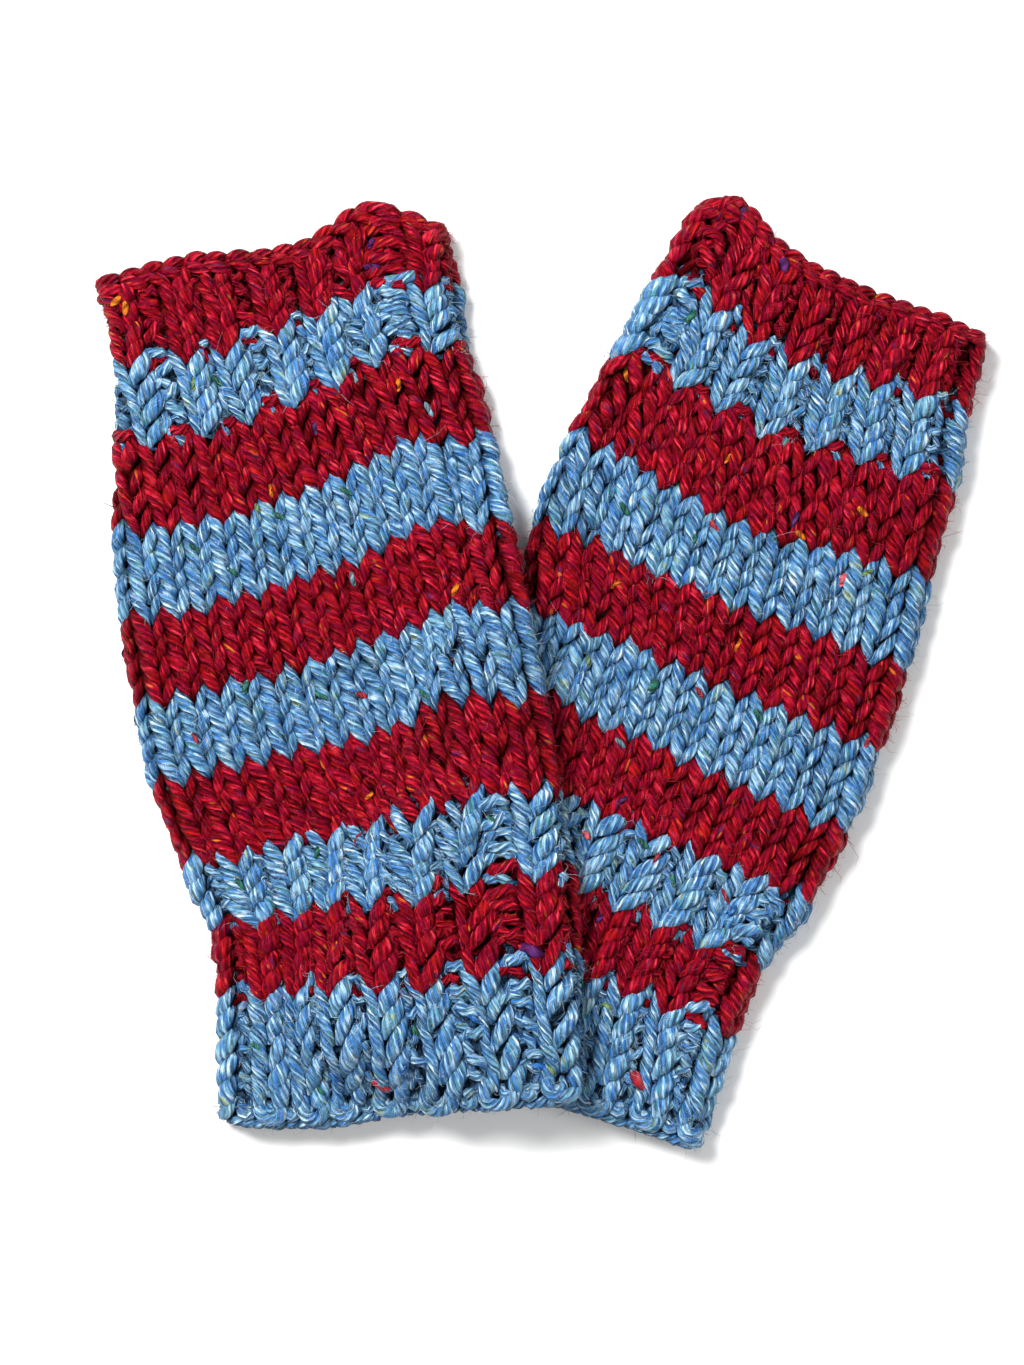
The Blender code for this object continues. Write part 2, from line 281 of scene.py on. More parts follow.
# The two edges' yarn, one step of each: share of the step along the edge, millimetres
# from the edge, millimetres out of the cloth and radius in millimetres
EDGE_COLUMNS = ("along", "up", "out", "radius")
CHAIN_LOWER = (
    (-0.05, -2.8, 0.0, 0.75),
    (0.12, -3.0, 1.4, 1.00),
    (0.38, -3.7, 2.3, 1.25),
    (0.66, -4.6, 2.4, 1.32),
    (0.92, -5.2, 1.6, 1.12),
    (1.08, -5.2, 0.0, 0.80),
    (1.02, -3.9, -0.6, 0.75),
)
CHAIN_UPPER = (
    (-0.05, -2.7, -0.2, 0.75),
    (0.12, -2.2, 1.0, 0.98),
    (0.38, -1.6, 1.7, 1.20),
    (0.66, -1.4, 1.5, 1.25),
    (0.92, -1.7, 0.7, 1.08),
    (1.06, -2.3, -0.4, 0.80),
    (1.00, -2.7, -0.9, 0.75),
)
CAST_ON_LOOP = (
    (-0.25, 8.8, 0.8, 1.10),
    (-0.26, 6.8, 2.0, 1.38),
    (-0.25, 4.7, 2.4, 1.42),
    (-0.13, 3.1, 2.4, 1.40),
    (0.04, 2.7, 2.3, 1.40),
    (0.18, 3.5, 2.3, 1.40),
    (0.25, 5.1, 2.2, 1.38),
    (0.27, 6.9, 1.7, 1.20),
    (0.32, 8.0, -0.2, 0.95),
    (0.40, 6.4, 0.4, 1.05),
    (0.44, 4.0, 1.6, 1.30),
    (0.57, 3.9, 1.6, 1.25),
    (0.62, 6.2, 0.2, 1.05),
)
CAST_ON_CURL = (
    (-0.30, 7.6, -1.0, 0.90),
    (-0.13, 6.6, 0.6, 1.05),
    (-0.09, 5.2, 1.9, 1.20),
    (0.04, 4.8, 2.1, 1.22),
    (0.13, 5.7, 1.6, 1.15),
    (0.15, 7.2, 0.2, 0.95),
    (0.40, 7.6, -1.1, 0.85),
)
CORD_FIRST = (
    (0.00, 1.1, 0.8, 1.15),
    (0.25, 1.7, 0.1, 1.00),
    (0.50, 1.4, -0.8, 0.95),
    (0.75, 0.9, 0.0, 1.05),
)
CORD_SECOND = [(here[0], *there[1:]) for here, there in zip(CORD_FIRST, CORD_FIRST[2:] + CORD_FIRST[:2])]
FIRST_ROW_APART = 0.30  # the legs of the first row stand apart, over the cast-on loops
FIRST_ROW_UP = 0.05

# Tufts of other colours on the yarn: share across the front, row, angle to the row in
# degrees, length and width in millimetres and colour
TUFT_COLUMNS = ("across", "row", "angle", "length", "width", "colour")
TUFT_COLOURS = {
    "crimson": (0.34, 0.004, 0.014),
    "pink": (0.55, 0.07, 0.09),
    "orange": (0.62, 0.17, 0.012),
    "yellow": (0.62, 0.36, 0.060),
    "green": (0.012, 0.120, 0.075),
    "moss": (0.140, 0.230, 0.070),
    "cobalt": (0.008, 0.120, 0.420),
    "navy": (0.030, 0.030, 0.110),
    "purple": (0.050, 0.018, 0.110),
    "pale": (0.16, 0.33, 0.40),
    "cream": (0.72, 0.68, 0.58),
}
LEFT_TUFTS = (
    (0.455, 1.1, -45, 5.4, 2.4, "crimson"),
    (0.320, 1.7, -50, 3.6, 1.3, "cobalt"),
    (0.277, 1.0, -55, 2.8, 1.2, "green"),
    (0.087, 2.8, -40, 3.0, 1.2, "green"),
    (0.521, 1.7, 70, 3.0, 1.3, "cobalt"),
    (0.548, 2.9, -60, 3.4, 1.3, "green"),
    (0.712, 3.1, -40, 4.0, 1.4, "cobalt"),
    (0.898, 1.0, -5, 4.2, 1.8, "cobalt"),
    (0.929, 0.8, -50, 3.4, 1.3, "moss"),
    (0.876, 5.7, -25, 6.4, 2.9, "purple"),
    (0.113, 11.4, -60, 4.0, 1.3, "green"),
    (0.341, 12.2, 75, 3.4, 1.2, "green"),
    (0.474, 12.4, 70, 4.0, 1.0, "crimson"),
    (0.818, 11.8, -30, 3.0, 1.2, "green"),
    (0.534, 14.2, 40, 2.6, 1.2, "orange"),
    (0.132, 18.5, -70, 3.4, 1.0, "crimson"),
    (0.559, 18.6, -35, 3.4, 1.6, "crimson"),
    (0.277, 20.5, 60, 3.6, 1.5, "green"),
    (0.460, 19.1, -40, 3.6, 1.3, "green"),
    (0.724, 17.4, -60, 3.8, 1.3, "green"),
    (0.849, 21.6, 60, 3.8, 1.6, "orange"),
    (0.590, 24.0, 80, 3.8, 1.3, "pale"),
    (0.293, 26.1, -50, 3.2, 1.1, "green"),
    (0.202, 27.6, -50, 3.2, 1.2, "green"),
    (0.428, 28.0, -45, 3.6, 1.3, "green"),
    (0.609, 28.0, -50, 3.6, 1.2, "green"),
    (0.375, 28.7, -80, 2.8, 1.2, "moss"),
    (0.415, 29.3, 75, 3.6, 1.3, "orange"),
    (0.863, 30.2, -60, 4.2, 1.4, "pale"),
    (0.799, 31.4, 75, 3.6, 1.6, "orange"),
    (0.556, 31.3, 75, 3.2, 1.3, "navy"),
    (0.972, 33.1, -20, 3.4, 2.0, "orange"),
    (0.288, 35.5, -55, 3.8, 1.3, "green"),
    (0.219, 35.6, 80, 3.4, 1.2, "moss"),
    (0.113, 37.6, 15, 3.0, 1.2, "cream"),
    (0.776, 38.3, -20, 4.4, 1.8, "purple"),
    (0.786, 39.5, 50, 3.0, 1.3, "purple"),
    (0.046, 40.3, 25, 3.6, 1.6, "orange"),
    (0.062, 39.8, 80, 3.6, 1.6, "orange"),
)
RIGHT_TUFTS = (
    (0.792, 1.5, -35, 5.8, 2.6, "crimson"),
    (0.648, 4.0, 0, 3.2, 1.4, "moss"),
    (0.542, 8.1, 80, 3.0, 1.2, "purple"),
    (0.399, 11.7, -30, 3.0, 1.5, "pink"),
    (0.542, 12.4, -20, 3.8, 1.4, "green"),
    (0.593, 12.0, 80, 3.4, 1.0, "crimson"),
    (0.664, 11.3, -60, 3.8, 1.3, "green"),
    (0.807, 11.6, -45, 4.4, 1.0, "crimson"),
    (0.845, 11.1, 80, 3.4, 1.4, "cobalt"),
    (0.988, 11.6, -30, 2.6, 1.2, "green"),
    (0.442, 13.9, 60, 3.2, 1.0, "navy"),
    (0.375, 16.3, -20, 3.6, 1.2, "pale"),
    (0.391, 19.4, 80, 3.8, 2.4, "green"),
    (0.510, 20.0, -35, 3.2, 1.2, "crimson"),
    (0.673, 20.1, -35, 3.6, 1.5, "green"),
    (0.959, 20.9, 80, 3.0, 1.2, "crimson"),
    (0.215, 19.2, -60, 3.0, 1.1, "moss"),
    (0.570, 22.9, 85, 3.8, 1.0, "orange"),
    (0.231, 23.4, 60, 3.4, 0.9, "orange"),
    (0.391, 27.1, -70, 3.0, 1.3, "green"),
    (0.199, 26.8, -30, 4.0, 1.4, "green"),
    (0.783, 27.6, 80, 3.8, 2.0, "pink"),
    (0.428, 28.1, -25, 3.4, 1.5, "crimson"),
    (0.837, 28.2, 45, 3.2, 1.3, "moss"),
    (0.620, 29.7, 85, 4.6, 1.2, "navy"),
    (0.646, 29.1, -30, 3.4, 1.4, "orange"),
    (0.780, 30.7, -30, 3.6, 1.5, "orange"),
    (0.396, 31.2, 85, 3.4, 1.0, "orange"),
    (0.050, 32.3, -75, 4.4, 1.8, "orange"),
    (0.134, 35.8, 85, 4.4, 1.5, "green"),
    (0.318, 40.8, -45, 4.0, 2.2, "purple"),
    (0.134, 41.2, -40, 3.2, 2.0, "navy"),
)
TUFT_KINDS = {
    "red": ("orange", "purple", "navy", "yellow"),
    "blue": ("green", "cobalt", "moss", "crimson"),
}
TUFTS_BEHIND = 36  # on the underside of each glove, at random
TUFT_STEPS = 6
TUFT_SIDES = 6
TUFT_FLAT = 0.5  # height over width
TUFT_SAG = 0.6 * MM  # between the strands that it lies on
TUFT_MAP = 60.0  # millimetres of the yarn's map for all tufts of a stripe

# Each glove's tables, and where the dip and the hump of its row lines lie
Shape = namedtuple("Shape", "rows ribs tufts dip_at dip_width hump_at hump_width")
SHAPES = {
    "left": Shape(LEFT_ROWS, LEFT_RIBS, LEFT_TUFTS, 0.27, 0.22, 0.79, 0.14),
    "right": Shape(RIGHT_ROWS, RIGHT_RIBS, RIGHT_TUFTS, 0.50, 0.26, 0.11, 0.11),
}

# The inner cloth behind the stitches
CLOTH_ROWS = 36
CLOTH_ROUND = 64
CLOTH_OUTSIDE = -0.8 * MM
CLOTH_THICK = 0.6 * MM
CLOTH_RIB = 0.6 * MM  # further out in the rib
# painted shade: the inner cloth's colour is darkened to this, as the gaps behind the stitches lie in
# shade
CLOTH_SHADE = 0.36
CLOTH_SHORTER = 0.15  # rows, at both ends
CLOTH_MAP = 5.6  # millimetres of the yarn's map for each quad round the cloth

FUZZ_HAIRS = 8000  # on each glove in each colour
FUZZ_STEPS = 2
FUZZ_WIDTH = 0.13 * MM
FUZZ_SHORTEST = 0.8  # millimetres
FUZZ_LONGER = 0.9  # as a mean
FUZZ_AT_EDGES = 1.5  # how much more of it there is at the folds
FUZZ_MAP = 900.0  # millimetres of the yarn's map for all of it

# The photograph: size in pixels, the pixel over the frame's middle, and the lens
PHOTO_WIDE = 1024
PHOTO_HIGH = 1365
PHOTO_X = 540.8
PHOTO_Y = 674.0
PIXEL = 0.2256 * MM
LENS = 85.0
SENSOR = 36.0

WORLD_LIGHT = 0.42
LIGHTS = (
    ("key", (-0.50, 0.50, 0.90), 0.40, 24.0),
    ("fill", (0.70, -0.20, 0.80), 0.60, 4.0),
)

# Random draws start from these, one further on for the right glove
STITCH_SEED = 7
STRIPE_SEED = 67
EDGE_SEED = 27
FUZZ_SEEDS = {"blue": 47, "red": 49}


def smooth_step(t):
    t = np.clip(t, 0.0, 1.0)
    return t * t * (3 - 2 * t)


def cubic(before, start, end, after, t):
    """A smooth step from start to end, which heads as their neighbours lie."""
    return (
        start * (2 * t**3 - 3 * t**2 + 1)
        + (end - before) / 2 * (t**3 - 2 * t**2 + t)
        + end * (3 * t**2 - 2 * t**3)
        + (after - start) / 2 * (t**3 - t**2)
    )


def smooth_value(values, at):
    """A smooth curve through evenly spaced values, read at places counted in values."""
    last = len(values) - 1
    index = np.clip(np.floor(at).astype(int), 0, last - 1)
    before = values[np.maximum(index - 1, 0)]
    after = values[np.minimum(index + 2, last)]
    return cubic(before, values[index], values[index + 1], after, at - index)


def draws(glove, seed):
    return np.random.default_rng(seed + (glove.side == "right"))


def unit(vectors):
    return vectors / np.maximum(np.linalg.norm(vectors, axis=-1, keepdims=True), 1e-12)


def bump(across, at, width):
    """A soft rise at one place of a row line, nothing at the two folds."""
    ends = np.minimum(across, 1 - across) / STRAIGHT_END
    return np.exp(-(((across - at) / width) ** 2)) * smooth_step(ends)


def distance_outside(x, y, outline):
    """How far points lie outside a closed outline, nothing for those inside."""
    inside = np.zeros(x.shape, bool)
    nearest = np.full(x.shape, np.inf)
    for i, (ax, ay) in enumerate(outline):
        bx, by = outline[i - 1]
        if ay != by:
            crosses = ((ay > y) != (by > y)) & (x < (bx - ax) * (y - ay) / (by - ay) + ax)
            inside ^= crosses
        edge_x = bx - ax
        edge_y = by - ay
        length = edge_x**2 + edge_y**2
        t = np.clip(((x - ax) * edge_x + (y - ay) * edge_y) / length, 0.0, 1.0)
        nearest = np.minimum(nearest, np.hypot(ax + edge_x * t - x, ay + edge_y * t - y))
    return np.where(inside, 0.0, nearest)


class Glove:
    """The form of one glove, read at a place round the tube and a row of stitches."""

    def __init__(self, side, lower=None):
        self.side = side
        self.shape = SHAPES[side]
        self.columns = {
            name: np.array([row[index] * MM for row in self.shape.rows])
            for index, name in enumerate(COLUMNS)
            if name != "row"
        }
        self.lower = lower
        self.row_edges = self.find_row_edges()

    def row_value(self, name, along):
        return smooth_value(self.columns[name], along)

    def ends(self, along):
        """The left end of a row line, and the reach from there to its right end."""
        left_x, left_y, right_x, right_y = (self.row_value(name, along) for name in COLUMNS[1:5])
        return left_x, left_y, right_x - left_x, right_y - left_y

    def width(self, along):
        _, _, reach_x, reach_y = self.ends(along)
        return np.hypot(reach_x, reach_y)

    def place(self, across, along):
        """Points of the table's plane at a share across and a row line number along."""
        left_x, left_y, reach_x, reach_y = self.ends(along)
        shape = self.shape
        rise = self.row_value("hump", along) * bump(across, shape.hump_at, shape.hump_width)
        rise = rise - self.row_value("dip", along) * bump(across, shape.dip_at, shape.dip_width)
        width = np.hypot(reach_x, reach_y)
        x = left_x + reach_x * across - rise * reach_y / width - CENTRE_X
        y = left_y + reach_y * across + rise * reach_x / width - CENTRE_Y
        return x, y

    def outline(self):
        last = len(STRIPES)
        edge = np.linspace(0, last, 3 * last + 1)
        across = np.linspace(0, 1, 13)[1:-1]
        sides = (
            self.place(np.ones_like(edge), edge),
            self.place(across[::-1], np.full_like(across, last)),
            self.place(np.zeros_like(edge), edge[::-1]),
            self.place(across, np.zeros_like(across)),
        )
        return [point for x, y in sides for point in zip(x, y)]

    def lift(self, x, y):
        """The height of the glove's underside, where it lies over another one."""
        if self.lower is None:
            return np.zeros_like(x)
        away = distance_outside(x, y, self.lower) / DRAPE_REACH
        return (THICK + RIB_RAISE + STACK_GAP) * (1 - smooth_step(away))

    def middle_step(self, index):
        """Length of one stripe along the middle of the glove."""
        along = np.array([index, index + 1.0])
        x, y = self.place(np.array([0.5, 0.5]), along)
        return math.hypot(x[1] - x[0], y[1] - y[0])

    def find_row_edges(self):
        """Rows of stitches counted at each row line, with the room for the two edges."""
        below = STRIPES[0].rows * CAST_ON_ROOM / (self.middle_step(0) - CAST_ON_ROOM)
        above = STRIPES[-1].rows * CHAIN_ROOM / (self.middle_step(len(STRIPES) - 1) - CHAIN_ROOM)
        edges = np.array([0.0, *STRIPE_ENDS])
        edges[0] -= below
        edges[-1] += above
        return edges

    def along_of(self, row):
        return np.interp(row, self.row_edges, np.arange(len(self.row_edges)))

    def half_round(self, along):
        """Half the way round the tube, along the middle of the cloth."""
        return self.width(along) - THICK + math.pi * FOLD_RADIUS

    def section(self, turn, width):
        """A place round the tube: distance from the left fold and height.
        turn 0 to 1 is the front, from left to right, and 1 to 2 the underside, back again."""
        flat = width - THICK
        quarter = math.pi * FOLD_RADIUS / 2
        half = flat + 2 * quarter
        turn = np.mod(turn, 2.0)
        front = turn < 1.0
        arc = np.where(front, turn, 2.0 - turn) * half
        left_angle = np.clip(arc / FOLD_RADIUS, 0.0, math.pi / 2)
        right_angle = np.clip((arc - quarter - flat) / FOLD_RADIUS, 0.0, math.pi / 2)
        across = (
            THICK / 2
            - FOLD_RADIUS * np.cos(left_angle)
            + np.clip(arc - quarter, 0.0, flat)
            + FOLD_RADIUS * np.sin(right_angle)
        )
        height = FOLD_RADIUS * (np.sin(left_angle) - 1 + np.cos(right_angle))
        return across, THICK / 2 + np.where(front, height, -height)

    def middle(self, turn, row):
        """Points of the middle of the cloth, and how far their places are lifted."""
        along = self.along_of(row)
        width = self.width(along)
        across, height = self.section(turn, width)
        x, y = self.place(across / width, along)
        lift = self.lift(x, y)
        return np.stack((x, y, lift + height), axis=-1), lift

    def cloth(self, turn, row):
        """Points of the middle of the cloth, the way out from it, and the lift."""
        points, lift = self.middle(turn, row)
        step_turn = 0.004
        step_row = 0.08
        round_way = self.middle(turn + step_turn, row)[0] - self.middle(turn - step_turn, row)[0]
        along_way = self.middle(turn, row + step_row)[0] - self.middle(turn, row - step_row)[0]
        return points, unit(np.cross(round_way, along_way)), lift

    def ribness(self, row):
        """One in the rib, nothing in the plain knitting."""
        wrist = 1 - smooth_step((row - PLAIN_FROM + 0.5) / TURN_ROWS)
        fingers = smooth_step((row - PLAIN_TO + 1.5) / TURN_ROWS)
        return np.maximum(wrist, fingers)

    def stitch_places(self, row):
        """Middle and width of each stitch round one row, as turns, and its share of rib."""
        half = float(self.half_round(float(self.along_of(row + 0.5))))
        table = self.shape.ribs
        at = np.array([line[0] for line in table])
        places = np.array([line[1] for line in table])
        front = np.array([np.interp(row + 0.5, at, column) for column in places.T])
        behind = np.linspace(front[-1], front[0] + 2, RIBS_ROUND - RIBS_ON_FRONT + 2)[1:-1]
        knit = np.concatenate((front, behind))
        step = np.diff(np.append(knit, knit[0] + 2))
        purl = knit + step / 2
        knit_step = (step + np.roll(step, 1)) / 2
        rib = float(self.ribness(row + 0.5))
        knit_width = np.minimum(KNIT_WIDTH / half, KNIT_SHARE * knit_step)
        knit_width = rib * knit_width + (1 - rib) * knit_step / 2
        next_width = np.roll(knit_width, -1)
        purl_width = step - (knit_width + next_width) / 2
        purl = purl + (knit_width - next_width) / 4
        middles = np.stack((knit, purl), axis=-1).ravel()
        widths = np.stack((knit_width, purl_width), axis=-1).ravel()
        return middles, widths, rib


def curve_through(table, extra):
    """Points of a smooth curve: every row of a table and the extra places between rows. After
    the last row it goes on with the first one, a whole step further in the first column."""
    table = np.array(table)
    count = len(table)
    shift = np.array([1.0, 0.0, 0.0, 0.0])

    def row_at(index):
        return table[index % count] + shift * (index // count)

    at = np.array(sorted([*range(count), *extra]))
    points = []
    for place in at:
        index = int(place)
        points.append(cubic(*(row_at(index + step) for step in (-1, 0, 1, 2)), place - index))
    return np.array(points), at


KNIT_ROWS = [row[1:] for row in KNIT_LOOP]
LEFT_PURL = [row[1:] for row in PURL_LOOP]
RIGHT_PURL = [(-across, *rest) for across, *rest in LEFT_PURL[-2:0:-1]]
KNIT_POINTS, LOOP_AT = curve_through(KNIT_ROWS, EXTRA_POINTS)
PURL_POINTS, _ = curve_through(LEFT_PURL + RIGHT_PURL, EXTRA_POINTS)
LEFT_LEG = (LOOP_AT >= 2) & (LOOP_AT <= 5)
RIGHT_LEG = (LOOP_AT >= 9) & (LOOP_AT <= 12)
HEAD = (LOOP_AT >= 5) & (LOOP_AT <= 9)


def gather(strands, *names):
    """The values of some strands, one array for each name."""
    return (np.concatenate([getattr(strand, name) for strand in strands]) for name in names)


class Strand:
    """One closed run of yarn: its middle line, the way out of the cloth and its radius."""

    def __init__(self, glove, turn, row, depth, radius, runs):
        points, self.out, self.lift = glove.cloth(turn, row)
        self.points = points + self.out * depth[:, None]
        self.depth = depth
        self.radius = radius
        self.runs = runs  # equal parts, such as stitches


def knit_row(glove, row, stripe, above, random):
    """One row of stitches round the glove as a strand. The knitting of the row above settles
    whether the heads between the knit columns lie in front."""
    middles, widths, rib = glove.stitch_places(row)
    half = float(glove.half_round(float(glove.along_of(row))))
    count = STITCHES_ROUND
    in_rib = stripe.knitting == "rib"
    stitches = KNIT_POINTS[None].repeat(count, 0)
    if in_rib:
        stitches[1::2] = PURL_POINTS
    stitches[1::2, HEAD] = (PURL_POINTS if above == "rib" else KNIT_POINTS)[HEAD]
    across, up, depth, radius = (stitches[:, :, i] for i in range(len(LOOP_COLUMNS)))
    wide = widths * half
    opened = np.clip((wide - CLOSED_PURL) / (OPEN_PURL - CLOSED_PURL), 0.0, 1.0)[1::2]
    out = np.full(count, KNIT_OUT * rib)
    out[1::2] = (PURL_OUT + (OPEN_PURL_OUT - PURL_OUT) * opened) * rib
    legs = LEFT_LEG | RIGHT_LEG
    stretched = 0.5 + (up[:, legs] - 0.5) * (1 + LEG_STRETCH)
    if in_rib:
        radius[1::2] *= PURL_THIN + (1 - PURL_THIN) * opened[:, None]
        radius[0::2, LEFT_LEG] *= RIB_LEFT_LEG * math.sqrt(stripe.apart)
        radius[0::2, RIGHT_LEG] *= RIB_RIGHT_LEG * math.sqrt(stripe.apart)
        up[0::2, legs] = stretched[0::2]
        up[1::2] += random.normal(-PURL_SLOPE, PURL_TILT, (count // 2, 1)) * across[1::2]
        up[1::2] += random.normal(0, PURL_LUMPS, up[1::2].shape)
        left = (LEFT_LEG, -LEG_MIDDLE, stripe.left_lean)
        right = (RIGHT_LEG, LEG_MIDDLE, stripe.right_lean)
        for leg, middle, lean in (left, right):
            across[0::2, leg] = (middle + (across[0::2, leg] - middle) * lean) * stripe.apart
    else:
        up[:, legs] = stretched
    to_hump = (middles - glove.shape.hump_at) / UNEVEN_WIDTH
    loose = 1 + UNEVEN * np.exp(-(to_hump[:, None] ** 2))
    to_fold = np.abs(middles - np.round(middles)) * half
    bent = 1 - smooth_step(to_fold / FOLD_REACH)[:, None]
    across[:, legs] *= 1 - FOLD_CLOSER * bent
    radius[:, legs] *= 1 + FOLD_THICKER * bent
    sway = random.normal(0, SWAY, (count, 1)) * loose
    turn = middles[:, None] + (across + sway * (up - 0.5)) * widths[:, None]
    taller = 1 + random.normal(0, TALLER, (count, 1))
    up = up * taller + random.normal(0, HIGHER, (count, 1)) * loose
    depth = depth * MM + out[:, None]
    depth[:, 0] = (depth[:, 0] + np.roll(depth[:, 0], 1)) / 2
    depth = depth + random.normal(0, DEEPER, (count, 1)) * loose
    radius = radius * MM * (1 + random.normal(0, THICKER, (count, 1)))
    for leg in (LEFT_LEG, RIGHT_LEG):
        radius[:, leg] *= 1 + random.normal(0, LEG_THICKER, (count, 1))
        depth[:, leg] += random.normal(0, LEG_DEEPER, (count, 1))
    narrow = np.clip(wide / NARROW, NARROW_THIN, 1.0)
    radius *= narrow[:, None] * (1 + random.normal(0, LUMPS, radius.shape))
    if row == 0:
        spread = np.sign(across[:, legs]) * np.maximum(np.abs(across[:, legs]), FIRST_ROW_APART)
        turn[0::2, legs] = middles[0::2, None] + spread[0::2] * widths[0::2, None]
        up = np.maximum(up, FIRST_ROW_UP)
    rows = row - 0.5 + up + PLAIN_RISE + (RIB_RISE - PLAIN_RISE) * rib
    return Strand(glove, turn.ravel(), rows.ravel(), depth.ravel(), radius.ravel(), count)


def edge_strand(glove, table, row, height, knots, random, slack):
    """A strand that repeats a short table along an edge, one step from knot to knot."""
    count = len(knots)
    points, _ = curve_through(table, [i + 0.5 for i in range(len(table))])
    edge = {name: points[None, :, i].repeat(count, 0) for i, name in enumerate(EDGE_COLUMNS)}
    at = edge["along"] + np.arange(count)[:, None] + random.normal(0, slack, (count, 1))
    index = np.arange(-1, count + 3)
    turn = np.interp(at, index, np.array(knots)[index % count] + 2.0 * (index // count))
    up = edge["up"] * MM + random.normal(0, EDGE_HIGHER, (count, 1))
    depth = edge["out"] * MM + random.normal(0, EDGE_DEEPER, (count, 1))
    radius = edge["radius"] * MM * (1 + random.normal(0, EDGE_THICKER, (count, 1)))
    rows = row + up / height
    return Strand(glove, turn.ravel(), rows.ravel(), depth.ravel(), radius.ravel(), count)


def add_object(name, data):
    obj = bpy.data.objects.new(name, data)
    bpy.context.scene.collection.objects.link(obj)
    return obj


def new_material(name):
    material = bpy.data.materials.new(name)
    material.use_nodes = True
    return material, material.node_tree.nodes["Principled BSDF"]


def unit_frames(points, out):
    """Sideways and upward directions at each point of closed runs of points."""
    ahead = unit(np.roll(points, -1, 0) - np.roll(points, 1, 0))
    across = unit(np.cross(ahead, out))
    return across, np.cross(across, ahead)


class GridMesh:
    """Gathers grids of quads into one mesh with its maps and attributes."""

    def __init__(self):
        self.parts = {}
        self.count = 0

    def add(self, points, closed, yarn, bake, shade, fleck, slot=0, flat=False):
        """Adds grids of points, (grid, along, round, 3), each closed round, unless it is flat,
        and perhaps along. yarn and bake are the corners of its quads on the maps."""
        grids, along, round_, _ = points.shape
        steps = along if closed else along - 1
        sides = round_ - 1 if flat else round_
        i = np.arange(steps)[None, :, None]
        k = np.arange(sides)[None, None, :]
        base = (np.arange(grids) * along * round_)[:, None, None] + self.count
        j = (i + 1) % along
        m = (k + 1) % round_
        corners = np.broadcast_arrays(
            base + i * round_ + k, base + j * round_ + k, base + j * round_ + m, base + i * round_ + m
        )
        added = {
            "points": points.reshape(-1, 3),
            "quads": np.stack(corners, axis=-1).reshape(-1, 4),
            "yarn": yarn.reshape(-1, 2),
            "bake": bake.reshape(-1, 2),
            "shade": np.broadcast_to(shade, points.shape[:3]).ravel(),
            "fleck": np.broadcast_to(fleck, points.shape[:3] + (4,)).reshape(-1, 4),
            "slot": np.broadcast_to(slot, (grids, steps, sides)).ravel(),
        }
        for name, values in added.items():
            self.parts.setdefault(name, []).append(values)
        self.count += grids * along * round_

    def build(self, name, materials):
        data = {key: np.concatenate(value) for key, value in self.parts.items()}
        mesh = bpy.data.meshes.new(name)
        mesh.from_pydata(data["points"], [], data["quads"], shade_flat=False)
        mesh.polygons.foreach_set("material_index", data["slot"].astype(np.int32))
        for map_name, key in (("yarn", "yarn"), ("OFBake", "bake")):
            layer = mesh.uv_layers.new(name=map_name)
            layer.data.foreach_set("uv", data[key].astype(np.float32).ravel())
        for key, kind, field in (("shade", "FLOAT", "value"), ("fleck", "FLOAT_COLOR", "color")):
            attribute = mesh.attributes.new(key, kind, "POINT")
            attribute.data.foreach_set(field, data[key].astype(np.float32).ravel())
        for material in materials:
            mesh.materials.append(material)
        return add_object(name, mesh)


def stack_corners(u0, u1, v0, v1):
    """The four corners of quads on a map."""
    return np.stack(np.broadcast_arrays(u0, v0, u1, v0, u1, v1, u0, v1), axis=-1)


def quad_corners(u, v):
    """Map corners of each quad of a grid from the places of its lines."""
    return stack_corners(u[..., :-1, None], u[..., 1:, None], v[..., None, :-1], v[..., None, 1:])


def cell_corners(first_cell, count, steps, sides, grid):
    """Map corners of the quads of many small grids, each grid in its own cell of a square
    table of cells, with a small margin."""
    index = first_cell + np.arange(count)[:, None, None]
    t = np.arange(steps)[None, :, None] / steps
    s = np.arange(sides)[None, None, :] / sides

    def inside(cell, share):
        return (cell + CELL_MARGIN + (1 - 2 * CELL_MARGIN) * share) / grid

    across = (inside(index % grid, share) for share in (t, t + 1 / steps))
    up = (inside(index // grid, share) for share in (s, s + 1 / sides))
    return stack_corners(*across, *up)


def ring_points(points, out, radius, sides):
    """Points round a run of yarn, and how far each lies out of the cloth from its middle."""
    across, upward = unit_frames(points, out)
    angle = -math.pi / 2 + 2 * math.pi * np.arange(sides) / sides
    wide = np.cos(angle)[None, :, None] * radius[:, None, None] * LEG_WIDE
    high = np.sin(angle)[None, :, None] * radius[:, None, None] * LEG_HIGH
    offset = across[:, None, :] * wide + upward[:, None, :] * high
    return points[:, None, :] + offset, np.sum(offset * out[:, None, :], axis=-1)


def keep_above(points, lift):
    """Points that would sink into what lies below are pressed flat on it."""
    low = lift + CLEAR
    above = points[..., 2] - low
    pressed = low + SOFT * np.exp((above - SOFT) / SOFT)
    points[..., 2] = np.where(above < SOFT, pressed, points[..., 2])


